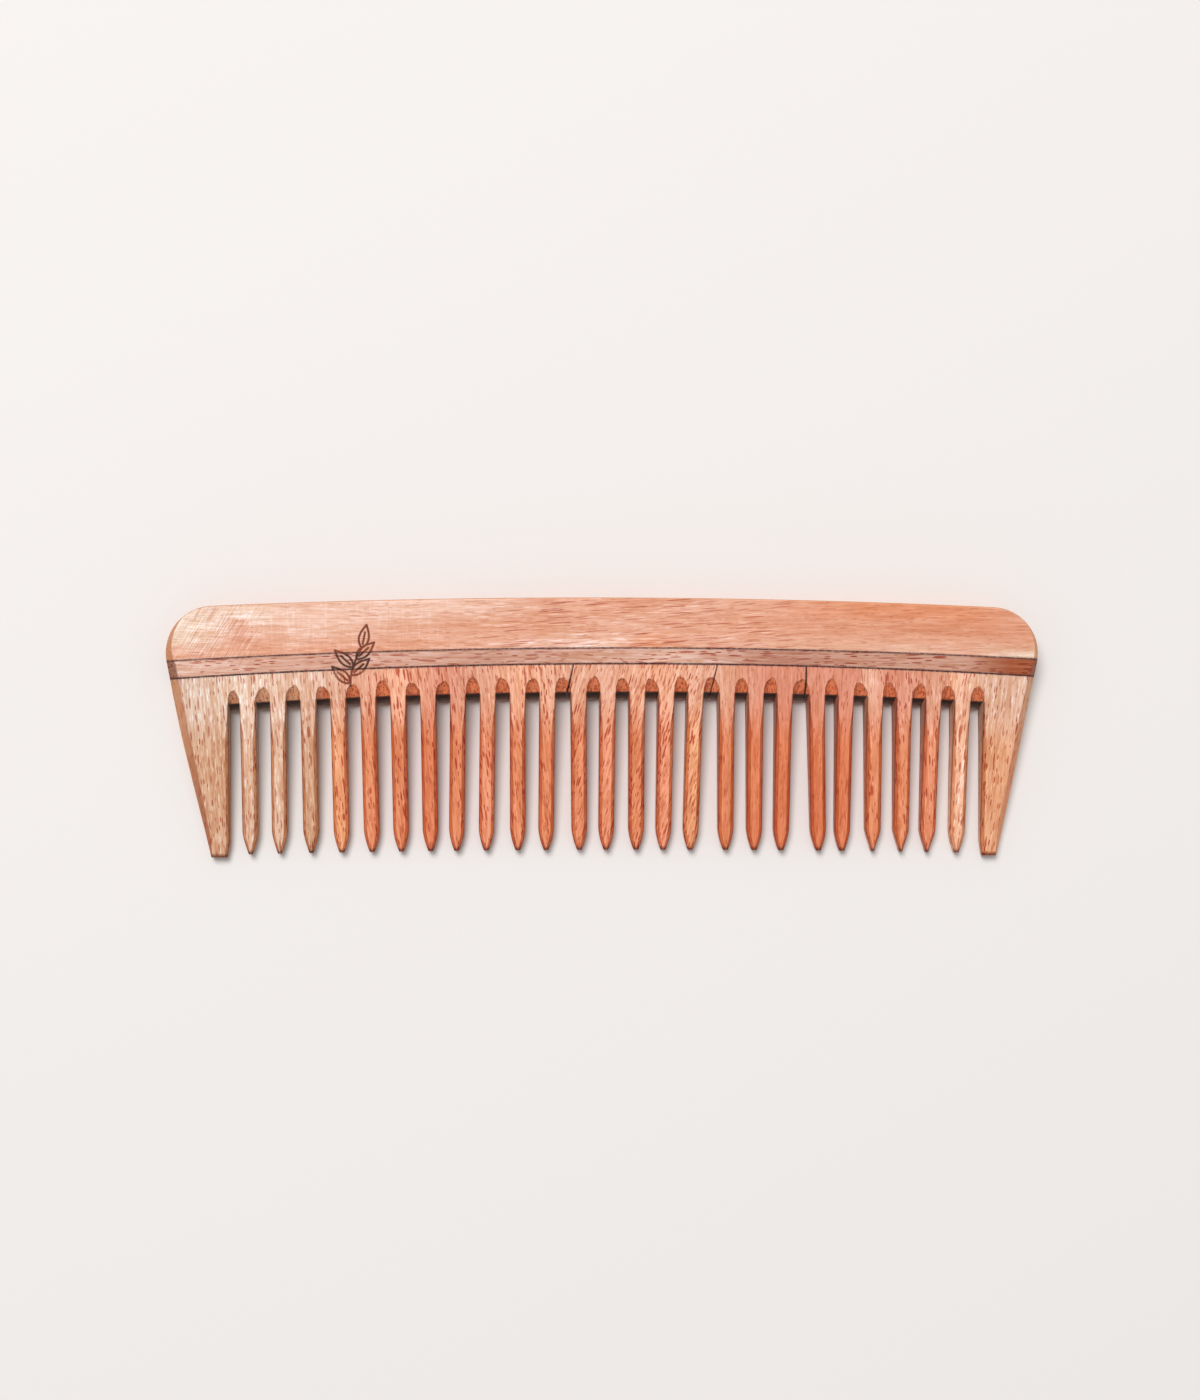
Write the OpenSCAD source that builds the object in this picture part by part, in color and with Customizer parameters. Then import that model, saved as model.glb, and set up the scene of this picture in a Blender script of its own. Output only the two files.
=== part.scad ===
// Wide tooth comb in wood: a curved back, a middle strip and a row of tooth blocks,
// all glued edge to edge. The comb tapers in thickness from its back to its tooth tips.
// X runs along the comb, +Y points to the back, +Z is up. The comb lies on its lower
// face, and the origin is the middle of its outline on that face.

/* [Overall size] */
// Length over the two rounded back corners
comb_l = 180; // [176:1:190]
// Width from the back to the ends of the guard teeth
comb_w = 53.6; // [53:0.1:55]
// Thickness at the back edge
back_t = 8.5; // [7.5:0.1:10]
// Thickness at the tooth tips
tip_t = 2.5; // [2.4:0.1:3.5]

/* [Outline] */
// Radius of the long curve of the back
back_r = 1760; // [1500:10:2200]
// Radius of each back corner
corner_r = 10; // [8:0.5:12]
// Radius of the slight bulge of each side
side_r = 700; // [600:10:900]
// Angle at which each side leaves its corner, from straight ahead
side_in = 9.7; // [9:0.1:10.5]
// Bevel along the back, the corners and the sides
rim_bevel = 1; // [0.4:0.1:1.2]

/* [Middle strip] */
// Distance from the back to the strip's upper edge, at the middle of the comb
strip_from_back = 10.4; // [9:0.1:12]
// Width of the strip at the middle of the comb
strip_w = 3.2; // [2.5:0.1:4]
// Radius of the strip's upper edge
strip_top_r = 1600; // [1400:10:2000]
// Radius of the strip's lower edge
strip_low_r = 1400; // [1300:10:1800]
// How far right of the middle the strip's curve has its highest point
strip_peak_x = 5; // [0:0.5:8]

/* [Teeth] */
// Width of one tooth
tooth_w = 3.2; // [3:0.05:3.4]
// Radius of the curve that all slot ends lie on
root_r = 1330; // [1200:10:1800]
// Height of the board above the slot ends, at the middle of the comb
board_h = 5.6; // [5:0.1:7]
// Radius of the curve that all tooth tips lie on
tip_r = 3600; // [3000:50:6000]
// How far the middle tooth's tip stays short of the guard teeth
tip_short = 1.4; // [1:0.1:2]
// Length of a tooth's pointed end
point_l = 5; // [4:0.1:5.2]
// Radius of the two curves that form the pointed end
point_r = 11.9; // [11:0.1:14]
// Inner edge of the left guard tooth, left of the middle
left_guard_x = 77.4; // [77.2:0.1:77.8]
// Inner edge of the right guard tooth, right of the middle
right_guard_x = 78.9; // [78.7:0.1:79.2]
// Bevel along both edges of every slot
slot_bevel = 0.5; // [0.3:0.05:0.7]

/* [Slot ends] */
// Length of the arched ramp above each slot end
ramp_l = 3.1; // [2.5:0.1:3.5]
// Depth of the ramp where it meets the slot
ramp_d = 2; // [1.5:0.1:2.2]

/* [Hidden] */
$fn = 96;

// One row for each tooth block, from left to right: its name, its first tooth's place,
// its number of teeth and the spacing between them.
BLOCKS = [
    ["left_guard_block", -73.4, 3, 6.2],
    ["tooth_block_2", -54.9, 8, 6.15],
    ["tooth_block_3", -5.4, 5, 6.05],
    ["tooth_block_4", 25.3, 3, 6],
    ["tooth_block_5", 44, 2, 6],
    ["tooth_block_6", 56.1, 3, 6.1],
    ["right_guard_block", 74.4, 1, 6],
];
// The glued joint at the right of each block but the last: how far it lies to the right of
// its slot's middle, and its lean in degrees
JOINTS = [[0, 0], [0.9, 13], [0, 12], [1, 0], [0, 0], [0, 0]];
// Colour of each block's wood
BLOCK_COLOUR = ["#DDB08C", "#DF8F66", "#DD8A60", "#DB8259", "#E0A37C", "#DF8D66", "#E2AE86"];

last = len(BLOCKS) - 1;
back_y = comb_w / 2;
end_y = -comb_w / 2;
slope = atan((back_t - tip_t) / comb_w);
strip_top_y = back_y - strip_from_back;
strip_low_y = strip_top_y - strip_w;
root_peak_y = strip_low_y - board_h;
tip_peak_y = end_y + tip_short;

// Each corner's circle touches the back's long curve and the side from within.
corner_x = comb_l / 2 - corner_r;
corner_turn = asin(corner_x / (back_r - corner_r));
corner_y = back_y - back_r + (back_r - corner_r) * cos(corner_turn);
side_cx = corner_x - (side_r - corner_r) * cos(side_in);
side_cy = corner_y + (side_r - corner_r) * sin(side_in);

// Small overlap that lets a cut pass clean through a surface
over = 0.3;

function top_z(y) = tip_t + (y - end_y) * tan(slope);
function arc_y(x, peak_y, r) = peak_y - r + sqrt(r * r - x * x);
function root_y(x) = arc_y(x - strip_peak_x, root_peak_y, root_r);
function tooth_tip_y(x) = arc_y(x, tip_peak_y, tip_r);
function tooth_x(b, i) = BLOCKS[b][1] + i * BLOCKS[b][3];
function right_wall(b) = tooth_x(b, BLOCKS[b][2] - 1) + tooth_w / 2;
function left_wall(b) = tooth_x(b, 0) - tooth_w / 2;

// Each slot as [middle, width]: those within a block, and the one at its right end.
function inner_slots(b) = [
    for (i = [1:1:BLOCKS[b][2] - 1]) [tooth_x(b, i) - BLOCKS[b][3] / 2, BLOCKS[b][3] - tooth_w]
];
function between(a, b) = [(a + b) / 2, b - a];
function right_slot(b) = between(right_wall(b), b == last ? right_guard_x : left_wall(b + 1));
function left_slot(b) = b == 0 ? between(-left_guard_x, left_wall(0)) : right_slot(b - 1);
function slots(b) = concat([left_slot(b)], inner_slots(b), [right_slot(b)]);

// Moves to a point of the upper face, with that face as the floor; lower does the same
// for the lower face, turned over.
module upper(y) translate([0, y, top_z(y)]) rotate([slope, 0, 0]) children();
module lower(y) translate([0, y, 0]) mirror([0, 0, 1]) children();

// Everything below a long curve with its highest point at (x, y)
module below(x, y, r) translate([x, y - r]) circle(r, $fn = 720);

// The whole comb's outline: three long curves, with a round corner where two of them meet
module outline() {
    intersection() {
        below(0, back_y, back_r);
        translate([side_cx, side_cy]) circle(side_r, $fn = 720);
        translate([-side_cx, side_cy]) circle(side_r, $fn = 720);
        polygon([
            [-comb_l / 2, end_y],
            [comb_l / 2, end_y],
            [comb_l / 2, corner_y - corner_r * sin(side_in)],
            [corner_x + corner_r * cos(side_in), corner_y - corner_r * sin(side_in)],
            [corner_x + corner_r * sin(corner_turn), corner_y + corner_r * cos(corner_turn)],
            [corner_x, back_y],
            [-corner_x, back_y],
            [-corner_x - corner_r * sin(corner_turn), corner_y + corner_r * cos(corner_turn)],
            [-corner_x - corner_r * cos(side_in), corner_y - corner_r * sin(side_in)],
            [-comb_l / 2, corner_y - corner_r * sin(side_in)],
        ]);
    }
    for (side = [-1, 1]) translate([side * corner_x, corner_y]) circle(corner_r);
}

// The space between the lower face and the sloping upper face
module taper()
    rotate([90, 0, 90])
        linear_extrude(comb_l + 2, center = true)
            polygon([[end_y, 0], [back_y, 0], [back_y, back_t], [end_y, tip_t]]);

module slab()
    intersection() {
        linear_extrude(back_t) children();
        taper();
    }

// A ring that cuts a bevel along a curved edge of the face it is placed on
module bevel_ring(r, start, turn)
    rotate([0, 0, start])
        rotate_extrude(angle = turn, $fn = r > 100 ? 720 : 96)
            polygon([
                [r - rim_bevel - over, over],
                [r + over, over],
                [r + over, -rim_bevel - over],
            ]);

// The rings of the two long curves run on a little past the round corners, clear of the wood.
module back_rim()
    translate([0, back_y - back_r - corner_y])
        bevel_ring(back_r, 90 - corner_turn - 0.05, 2 * corner_turn + 0.1);

module end_rims()
    for (side = [0, 1]) mirror([side, 0, 0]) {
        translate([corner_x, 0])
            bevel_ring(corner_r, -side_in, 90 - corner_turn + side_in);
        translate([side_cx, side_cy - corner_y])
            bevel_ring(side_r, -side_in - 4, 4.1);
    }

// Pointed arch, point down, in which an arched ramp is cut
module arch(w) {
    rise = ramp_l * sin(atan(ramp_d / ramp_l));
    r = (rise * rise + w * w / 4) / w;
    translate([0, rise])
        intersection_for (side = [-1, 1]) translate([side * (r - w / 2), 0]) circle(r);
}

// Cuts at one slot on one face: the arched ramp above its end, and the bevel of both edges
module slot_face_cut(x, w) {
    fall = atan(ramp_d / ramp_l);
    translate([x, ramp_l, 0])
        rotate([90 + fall, 0, 0])
            translate([0, 0, -over])
                linear_extrude(ramp_l / cos(fall) + 2 * over) arch(w + 0.1);
    translate([x, 0, 0])
        rotate([90, 0, 0])
            linear_extrude(comb_w)
                polygon([
                    [-w / 2 - slot_bevel - over, over],
                    [w / 2 + slot_bevel + over, over],
                    [w / 2 - over, -slot_bevel - over],
                    [-w / 2 + over, -slot_bevel - over],
                ]);
}

module slot_cuts(b)
    for (s = slots(b)) {
        upper(root_y(s[0])) slot_face_cut(s[0], s[1]);
        lower(root_y(s[0])) slot_face_cut(s[0], s[1]);
    }

module tooth_plan(x) {
    tip_y = tooth_tip_y(x);
    translate([x - tooth_w / 2, tip_y + point_l])
        square([tooth_w, root_y(x) - tip_y - point_l + 1]);
    intersection() {
        translate([x + point_r - tooth_w / 2, tip_y + point_l]) circle(point_r);
        translate([x - point_r + tooth_w / 2, tip_y + point_l]) circle(point_r);
        translate([x - tooth_w, tip_y]) square([2 * tooth_w, point_l]);
    }
}

module guard_plan(inner_x, side)
    translate([side > 0 ? inner_x : -comb_l / 2, end_y])
        square([comb_l / 2 - abs(inner_x), root_y(inner_x) - end_y + 1]);

// The wood that one block may take up, between its two glued joints
module block_zone(b) {
    rise = back_y - root_peak_y;
    left_x = b == 0 ? -comb_l : left_slot(b)[0] + JOINTS[b - 1][0];
    right_x = b == last ? comb_l : right_slot(b)[0] + JOINTS[b][0];
    left_lean = b == 0 ? 0 : JOINTS[b - 1][1];
    right_lean = b == last ? 0 : JOINTS[b][1];
    polygon([
        [left_x, end_y - 1],
        [right_x, end_y - 1],
        [right_x, root_peak_y],
        [right_x + rise * tan(right_lean), back_y],
        [left_x + rise * tan(left_lean), back_y],
        [left_x, root_peak_y],
    ]);
}

module block_plan(b)
    intersection() {
        union() {
            difference() {
                below(strip_peak_x, strip_low_y, strip_low_r);
                below(strip_peak_x, root_peak_y, root_r);
            }
            for (i = [0:1:BLOCKS[b][2] - 1]) tooth_plan(tooth_x(b, i));
            if (b == 0) guard_plan(-left_guard_x, -1);
            if (b == last) guard_plan(right_guard_x, 1);
        }
        outline();
        block_zone(b);
    }

module tooth_block(b)
    color(BLOCK_COLOUR[b])
        difference() {
            slab() block_plan(b);
            slot_cuts(b);
            if (b == 0 || b == last) {
                upper(corner_y) end_rims();
                lower(corner_y) end_rims();
            }
        }

module spine()
    color("#E3A57F")
        difference() {
            slab() difference() {
                outline();
                below(strip_peak_x, strip_top_y, strip_top_r);
            }
            upper(corner_y) {
                back_rim();
                end_rims();
            }
            lower(corner_y) {
                back_rim();
                end_rims();
            }
        }

module middle_strip()
    color("#BE8E77")
        difference() {
            slab() intersection() {
                outline();
                difference() {
                    below(strip_peak_x, strip_top_y, strip_top_r);
                    below(strip_peak_x, strip_low_y, strip_low_r);
                }
            }
            upper(corner_y) end_rims();
            lower(corner_y) end_rims();
        }

spine();
middle_strip();
for (b = [0:last])
    tooth_block(b);
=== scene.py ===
"""A wide tooth comb glued up from nine pieces of wood, lying on a pale floor.

Shapes are worked out in millimetres in the row frame: X along the comb, +Y towards its back,
Z up out of its upper face. Each piece is one closed mesh, made from a grid of points on the
comb's outline that is given an upper face, a lower face and side walls.
"""

import math

import bmesh
import bpy
import numpy as np
from mathutils import Matrix, Vector


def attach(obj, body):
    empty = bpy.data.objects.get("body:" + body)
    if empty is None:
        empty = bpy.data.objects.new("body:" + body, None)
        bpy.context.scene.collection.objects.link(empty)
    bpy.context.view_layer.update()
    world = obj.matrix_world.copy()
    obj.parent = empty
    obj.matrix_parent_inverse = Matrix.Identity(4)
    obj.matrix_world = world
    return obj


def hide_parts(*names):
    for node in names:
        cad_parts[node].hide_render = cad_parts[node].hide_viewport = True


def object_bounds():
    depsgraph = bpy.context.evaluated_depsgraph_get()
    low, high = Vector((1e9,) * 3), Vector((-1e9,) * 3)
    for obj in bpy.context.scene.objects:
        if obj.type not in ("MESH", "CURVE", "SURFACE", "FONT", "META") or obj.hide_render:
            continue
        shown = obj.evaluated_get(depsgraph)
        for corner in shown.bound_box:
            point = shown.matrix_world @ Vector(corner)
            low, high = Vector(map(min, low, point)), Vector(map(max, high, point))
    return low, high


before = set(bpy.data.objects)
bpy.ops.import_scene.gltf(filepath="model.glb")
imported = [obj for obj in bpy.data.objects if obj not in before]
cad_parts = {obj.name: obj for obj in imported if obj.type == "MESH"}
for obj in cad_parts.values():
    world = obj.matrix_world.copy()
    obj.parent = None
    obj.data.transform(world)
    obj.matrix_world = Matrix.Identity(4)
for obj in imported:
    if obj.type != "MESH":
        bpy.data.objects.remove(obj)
cad_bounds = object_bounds()

MM = 0.001

# ---- sizes of the comb, in mm

HALF_L = cad_bounds[1].x / MM
BACK_Y = 26.8
END_Y = -26.8
BACK_T = 8.5
TIP_T = 2.5
SLOPE = (BACK_T - TIP_T) / (BACK_Y - END_Y)

BACK_R = 1760.0
CORNER_R = 10.0
SIDE_R = 700.0
SIDE_IN = math.radians(9.7)

STRIP_TOP_Y = 16.4
STRIP_LOW_Y = 13.2
STRIP_TOP_R = 1600.0
STRIP_LOW_R = 1400.0
STRIP_PEAK_X = 5.0

TOOTH_W = 3.2
ROOT_Y = 7.6
ROOT_R = 1330.0
TIP_Y = -25.4
TIP_R = 3600.0
POINT_L = 5.0
POINT_R = 11.9
LEFT_GUARD_X = 77.4
RIGHT_GUARD_X = 78.9

# The corner circles touch the back's long curve and the sides from within.
CORNER_X = HALF_L - CORNER_R
CORNER_TURN = math.asin(CORNER_X / (BACK_R - CORNER_R))
CORNER_Y = BACK_Y - BACK_R + (BACK_R - CORNER_R) * math.cos(CORNER_TURN)
SIDE_CX = CORNER_X - (SIDE_R - CORNER_R) * math.cos(SIDE_IN)
SIDE_CY = CORNER_Y + (SIDE_R - CORNER_R) * math.sin(SIDE_IN)

# Each tooth block: first tooth's place, number of teeth and their spacing
BLOCKS = {
    "left_guard_block": (-73.4, 3, 6.2),
    "tooth_block_2": (-54.9, 8, 6.15),
    "tooth_block_3": (-5.4, 5, 6.05),
    "tooth_block_4": (25.3, 3, 6.0),
    "tooth_block_5": (44.0, 2, 6.0),
    "tooth_block_6": (56.1, 3, 6.1),
    "right_guard_block": (74.4, 1, 6.0),
}
NAMES = list(BLOCKS)
FIRST = NAMES[0]
LAST = NAMES[-1]

# The joint at the right of each block: how far it lies to the right of its slot's middle, its
# lean in degrees, and how far it has opened at the strip and at the slot
JOINTS = [
    (0, 0, 0.02, 0.02),
    (0.9, 13, 0.05, 0.26),
    (0, 12, 0.05, 0.16),
    (1, 0, 0.10, 0.24),
    (0, 0, 0.02, 0.02),
    (0, 0, 0.02, 0.02),
]
LEAN_REACH = 5.0

# How far the tip of each tooth strays to the right of its root, block by block
TOOTH_STRAY = [
    (0.3, 0.1, 0.4),
    (0.6, 0.7, 0.6, 0.5, -0.3, -0.3, 0.1, -0.2),
    (0.3, -0.2, 0.0, -0.4, -0.8),
    (0.1, 0.1, -0.3),
    (0.9, -0.2),
    (0.2, 0.0, -0.6),
    (-0.5,),
]
TOOTH_L = 33.0
# How much each block's points are narrowed at the tip, and how far up that reaches
SHARPER = [0.25, 0.10, 0.10, 0.10, 0.12, 0.50, 0.20]
SHARP_L = 4.5
# How far the outer edge of each guard tooth has moved to the right at its tip, from which
# height on, and the length and width of the corner cut off the inner side of its tip
GUARD_SHIFT = {"left_guard_block": 0.6, "right_guard_block": 0.45}
GUARD_SHIFT_Y = 4.0
NICK_L = 3.2
NICK_W = {"left_guard_block": 0.55, "right_guard_block": 0.5}

# Width of the bevel along each side, as (height on the comb, width), and how far round the
# corner it carries on
LEFT_RIM = [(-26.8, 0.5), (-21, 1.25), (-9, 1.95), (4, 2.2), (9, 2.2), (12.5, 2.1), (15.5, 1.6)]
RIGHT_RIM = [(-26.8, 0.35), (-21, 1.1), (-9, 1.4), (4, 1.6), (9, 1.5), (13, 1.1), (16, 0.9)]
RIM_TURN = math.radians(62)
RIM_FALL = 0.75
EDGE_ROUND = 0.42

# The bevel along the slots: its full width, how far down it takes to reach that, and its fall
SLOT_BEVEL = 0.72
SLOT_BEVEL_REACH = 9.0
SLOT_BEVEL_FALL = 0.8
# The arched ramps above the slot ends: depth, least and greatest length, and sideways lean
RAMP_D = 2.0
RAMP_L = (2.45, 3.3)
RAMP_SKEW = 0.45
# The bevel across each tip: width and fall
TIP_BEVEL = 0.35
TIP_FALL = 0.8
# The grooves along the strip's two edges: depth on the blocks' side and on the spine's, width
SEAM_GROOVE = 0.10
STRIP_GROOVE = 0.06
GROOVE_W = 0.14
# A joint that has opened more than this at the slot shows as a crack
OPEN_JOINT = 0.05
CRACK_D = 0.12
CRACK_W = 0.2
BURN_D = 0.2
# Unevenness of the upper face of the spine and strip, and of the blocks
LONG_WAVE = 0.035
BLOCK_WAVE = 0.03
# The least thickness that deep cuts from both faces leave
LEAST_T = 0.1
# How far the foot of a slot's end wall stands out below its upper edge
ROOT_FOOT = 1.5

ORNAMENT_X = (-57.0, -44.6)
ORNAMENT_Y = (7.5, 22.5)

# The grids: spacing along the comb and under the ornament, levels of the side walls, lines of
# a corner fan, rows of the spine, where the strip's even grid ends, how near points are joined,
# and a distance that stands for nowhere near
GRID_STEP = 0.8
FINE_STEP = 0.11
WALL_LEVELS = 5
FAN_LINES = 34
SPINE_ROWS = 77
STRIP_END = 2.6
SAME_PLACE = 0.002
FAR = 99.0
# Faces that meet at more than this stay sharp
SHARP_ANGLE = math.radians(28)
# Grid lines of the rim bevels and slot bevels, in shares of their widths, and least widths
RIM_STEPS = np.array([0, 0.2, 0.4, 0.6, 0.8, 1, 1.1])
GUARD_RIM_STEPS = (0, 0.2, 0.4, 0.6, 0.8, 1, 1.12)
SLOT_BEVEL_STEPS = (1.25, 1, 0.67, 0.33, 0)
LEAST_RIM = 0.3
LEAST_BEVEL = 0.2

rng = np.random.default_rng(11)


# ---- curves of the outline

def top_z(y):
    return TIP_T + (y - END_Y) * SLOPE


def arc_y(x, peak, radius):
    return peak - radius + np.sqrt(radius * radius - x * x)


def back_y(x):
    return arc_y(x, BACK_Y, BACK_R)


def strip_top(x):
    return arc_y(x - STRIP_PEAK_X, STRIP_TOP_Y, STRIP_TOP_R)


def strip_low(x):
    return arc_y(x - STRIP_PEAK_X, STRIP_LOW_Y, STRIP_LOW_R)


def root_y(x):
    return arc_y(x - STRIP_PEAK_X, ROOT_Y, ROOT_R)


def tip_y(x):
    return arc_y(x, TIP_Y, TIP_R)


def edge_x(y):
    """Distance from the middle of the comb to its side at height y."""
    side = SIDE_CX + np.sqrt(SIDE_R ** 2 - (y - SIDE_CY) ** 2)
    rise = np.clip(y - CORNER_Y, -CORNER_R, CORNER_R)
    corner = CORNER_X + np.sqrt(CORNER_R ** 2 - rise ** 2)
    return np.where(y < CORNER_Y - CORNER_R * math.sin(SIDE_IN), side, corner)


def point_half_width(t):
    """Half width of a tooth at distance t from its tip."""
    rise = np.clip(POINT_L - t, 0, POINT_L)
    return TOOTH_W / 2 - POINT_R + np.sqrt(POINT_R ** 2 - rise ** 2)


def smooth(value, low, high):
    """0 at low, 1 at high, with a smooth rise between them."""
    t = np.clip((value - low) / (high - low), 0, 1)
    return t * t * (3 - 2 * t)


def wave(x, y, size):
    """Slight unevenness, up to size, of a surface shaped by hand."""
    long_wave = np.sin(x / 9.1 + 0.7) * np.sin(y / 6.3 + 1.9)
    short_wave = np.sin(x / 3.7 + y / 5.2) * np.sin(y / 4.1 - x / 6.7 + 0.4)
    return size * (0.6 * long_wave + 0.4 * short_wave)


# ---- what is cut from each face

def corner_angle(x, y):
    """Angle round the corner, from 0 at the side to 90 degrees at the back."""
    return np.arctan2(y - CORNER_Y, np.abs(x) - CORNER_X)


def rim_distance(x, y):
    """Distance in from the comb's outline."""
    ax = np.abs(x)
    side = SIDE_R - np.hypot(ax - SIDE_CX, y - SIDE_CY)
    back = BACK_R - np.hypot(x, y - BACK_Y + BACK_R)
    corner = CORNER_R - np.hypot(ax - CORNER_X, y - CORNER_Y)
    angle = corner_angle(x, y)
    at_corner = (angle > -SIDE_IN) & (angle < math.pi / 2 - CORNER_TURN) & (ax > CORNER_X)
    return np.where(at_corner, corner, np.minimum(side, back))


def rim_width(x, y):
    """Width of the bevel along the nearest side."""
    left = np.interp(y, *zip(*LEFT_RIM))
    right = np.interp(y, *zip(*RIGHT_RIM))
    turn = np.where(np.abs(x) > CORNER_X, corner_angle(x, y), math.pi / 2)
    kept = np.where(y > CORNER_Y, 1 - np.clip(turn / RIM_TURN, 0, 1), 1)
    return np.where(x < 0, left, right) * kept


def bevel_drop(distance, width, fall):
    """How far a flat bevel cuts down at a distance from the edge."""
    return np.clip(width - distance, 0, None) * fall


def round_drop(distance, radius):
    """How far a rounded edge falls at a distance from it."""
    inside = np.clip(radius - distance, 0, radius)
    return radius - np.sqrt(radius ** 2 - inside ** 2)


def rim_drop(x, y):
    distance = np.clip(rim_distance(x, y), 0, None)
    bevel = bevel_drop(distance, rim_width(x, y), RIM_FALL)
    return np.maximum(bevel, round_drop(distance, EDGE_ROUND))


def groove_drop(distance, depth=SEAM_GROOVE, width=GROOVE_W):
    """Depth of a rounded groove that runs along an edge."""
    return depth * (1 - smooth(distance, 0, width))


# ---- burnt leaf ornament

def leaf_lines(base, angle, length, bulge):
    """The two edges and the midrib of one leaf, as lists of points."""
    t = np.linspace(0, 1, 13)
    along = np.array([math.cos(angle), math.sin(angle)])
    across = np.array([-along[1], along[0]])
    middle = np.array(base) + np.outer(t, along) * length
    swell = np.outer(np.sin(math.pi * t ** 0.8) * bulge, across)
    return [middle + swell, middle - swell, middle[2:9]]


def sprig_lines():
    """A curved stem with leaves in turn to the left and to the right, and one at its end."""
    t = np.linspace(0, 1, 15)
    stem = np.stack([-52.3 + 2.4 * t ** 2, 8.6 + 7.8 * t], axis=1)
    lines = [stem]
    for place, side in ((1, 1), (4, -1), (7, 1), (10, -1)):
        lean = math.radians(90 + side * 48)
        lines += leaf_lines(stem[place], lean, 5.0, 1.0)
    return lines + leaf_lines(stem[-1], math.radians(78), 4.8, 1.0)


def distance_to_lines(x, y, lines):
    best = np.full(x.shape, 1e3)
    for line in lines:
        for (ax, ay), (bx, by) in zip(line[:-1], line[1:]):
            dx, dy = bx - ax, by - ay
            t = np.clip(((x - ax) * dx + (y - ay) * dy) / (dx * dx + dy * dy), 0, 1)
            best = np.minimum(best, np.hypot(x - ax - t * dx, y - ay - t * dy))
    return best


def burn_mask(x, y):
    """1 on the burnt lines of the sprig, 0 away from them."""
    mask = np.zeros(x.shape)
    near = (x > ORNAMENT_X[0]) & (x < ORNAMENT_X[1]) & (y > ORNAMENT_Y[0]) & (y < ORNAMENT_Y[1])
    lines = sprig_lines()
    mask[near] = 1 - smooth(distance_to_lines(x[near], y[near], lines), 0.10, 0.30)
    return mask


# ---- closed meshes from grids

def boundary_edges(cells):
    """Grid edges with a cell on one side only, as pairs of (i, j) grid points."""
    padded = np.pad(cells, 1)
    rises = padded[1:, 1:-1] != padded[:-1, 1:-1]
    i, j = np.nonzero(rises)
    upright = np.stack([i, j, i, j + 1], axis=1)
    level = padded[1:-1, 1:] != padded[1:-1, :-1]
    i, j = np.nonzero(level)
    flat = np.stack([i, j, i + 1, j], axis=1)
    return np.concatenate([upright, flat])


def closed_mesh(name, x, y, high, low, cells, masks, foot=0.0):
    """A closed solid on the grid points (x, y), between the heights low and high, where cells
    are present. masks holds, for each named mask, its values on the upper face, the lower face
    and the walls. foot is how far each point of the lower face lies further to -Y."""
    used = np.zeros(x.shape, bool)
    for di in (0, 1):
        for dj in (0, 1):
            used[di:x.shape[0] - 1 + di, dj:x.shape[1] - 1 + dj] |= cells
    count = int(used.sum())
    number = np.full(x.shape, -1)
    number[used] = np.arange(count)

    i, j = np.nonzero(cells)
    corners = [number[i, j], number[i + 1, j], number[i + 1, j + 1], number[i, j + 1]]
    top_faces = np.stack(corners, axis=1)
    low_faces = top_faces[:, ::-1] + count

    edges = boundary_edges(cells)
    starts = number[edges[:, 0], edges[:, 1]]
    ends = number[edges[:, 2], edges[:, 3]]
    rim = np.unique(np.concatenate([starts, ends]))
    rim_place = np.full(count, -1)
    rim_place[rim] = np.arange(len(rim))

    plan = np.stack([x[used], y[used]], axis=1)
    foot_used = np.column_stack([np.zeros(count), np.broadcast_to(foot, x.shape)[used]])
    high_used, low_used = high[used], low[used]
    points = [np.column_stack([plan, high_used]), np.column_stack([plan - foot_used, low_used])]
    for level in range(1, WALL_LEVELS):
        share = level / WALL_LEVELS
        height = high_used[rim] * (1 - share) + low_used[rim] * share
        points.append(np.column_stack([plan[rim] - foot_used[rim] * share, height]))

    def level_index(vertex, level):
        if level == 0:
            return vertex
        if level == WALL_LEVELS:
            return vertex + count
        return 2 * count + (level - 1) * len(rim) + rim_place[vertex]

    walls = [
        np.stack([
            level_index(starts, level),
            level_index(ends, level),
            level_index(ends, level + 1),
            level_index(starts, level + 1),
        ], axis=1)
        for level in range(WALL_LEVELS)
    ]

    mesh = bpy.data.meshes.new(name)
    faces = np.concatenate([top_faces, low_faces] + walls)
    mesh.from_pydata(np.concatenate(points) * MM, [], faces)
    for mask, (on_top, on_low, on_wall) in masks.items():
        wall = np.tile(np.broadcast_to(on_wall, x.shape)[used][rim], WALL_LEVELS - 1)
        values = np.concatenate([on_top[used], on_low[used], wall])
        layer = mesh.attributes.new(mask, "FLOAT", "POINT")
        layer.data.foreach_set("value", values.astype(np.float32))
    return clean_mesh(mesh)


def clean_mesh(mesh):
    """Joins points that fell together and turns every face outwards."""
    work = bmesh.new()
    work.from_mesh(mesh)
    bmesh.ops.remove_doubles(work, verts=work.verts, dist=SAME_PLACE * MM)
    bmesh.ops.recalc_face_normals(work, faces=work.faces)
    work.to_mesh(mesh)
    work.free()
    mesh.polygons.foreach_set("use_smooth", [True] * len(mesh.polygons))
    mesh.set_sharp_from_angle(angle=SHARP_ANGLE)
    return mesh


def placed(name, data):
    """A new object in the scene."""
    thing = bpy.data.objects.new(name, data)
    bpy.context.scene.collection.objects.link(thing)
    return thing


def add_piece(mesh, node, material):
    """Puts a mesh in the scene in place of a CAD node."""
    piece = placed(node + "_wood", mesh)
    mesh.materials.append(material)
    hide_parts(node)
    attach(piece, "root")


def cut_mask(drop):
    """How far a surface is a fresh cut and not the sanded face."""
    return smooth(drop, 0.02, 0.16)


def spaced(low, high, step):
    """Evenly spaced values from low to high, at most step apart."""
    return np.linspace(low, high, max(2, int(math.ceil((high - low) / step)) + 1))


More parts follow.
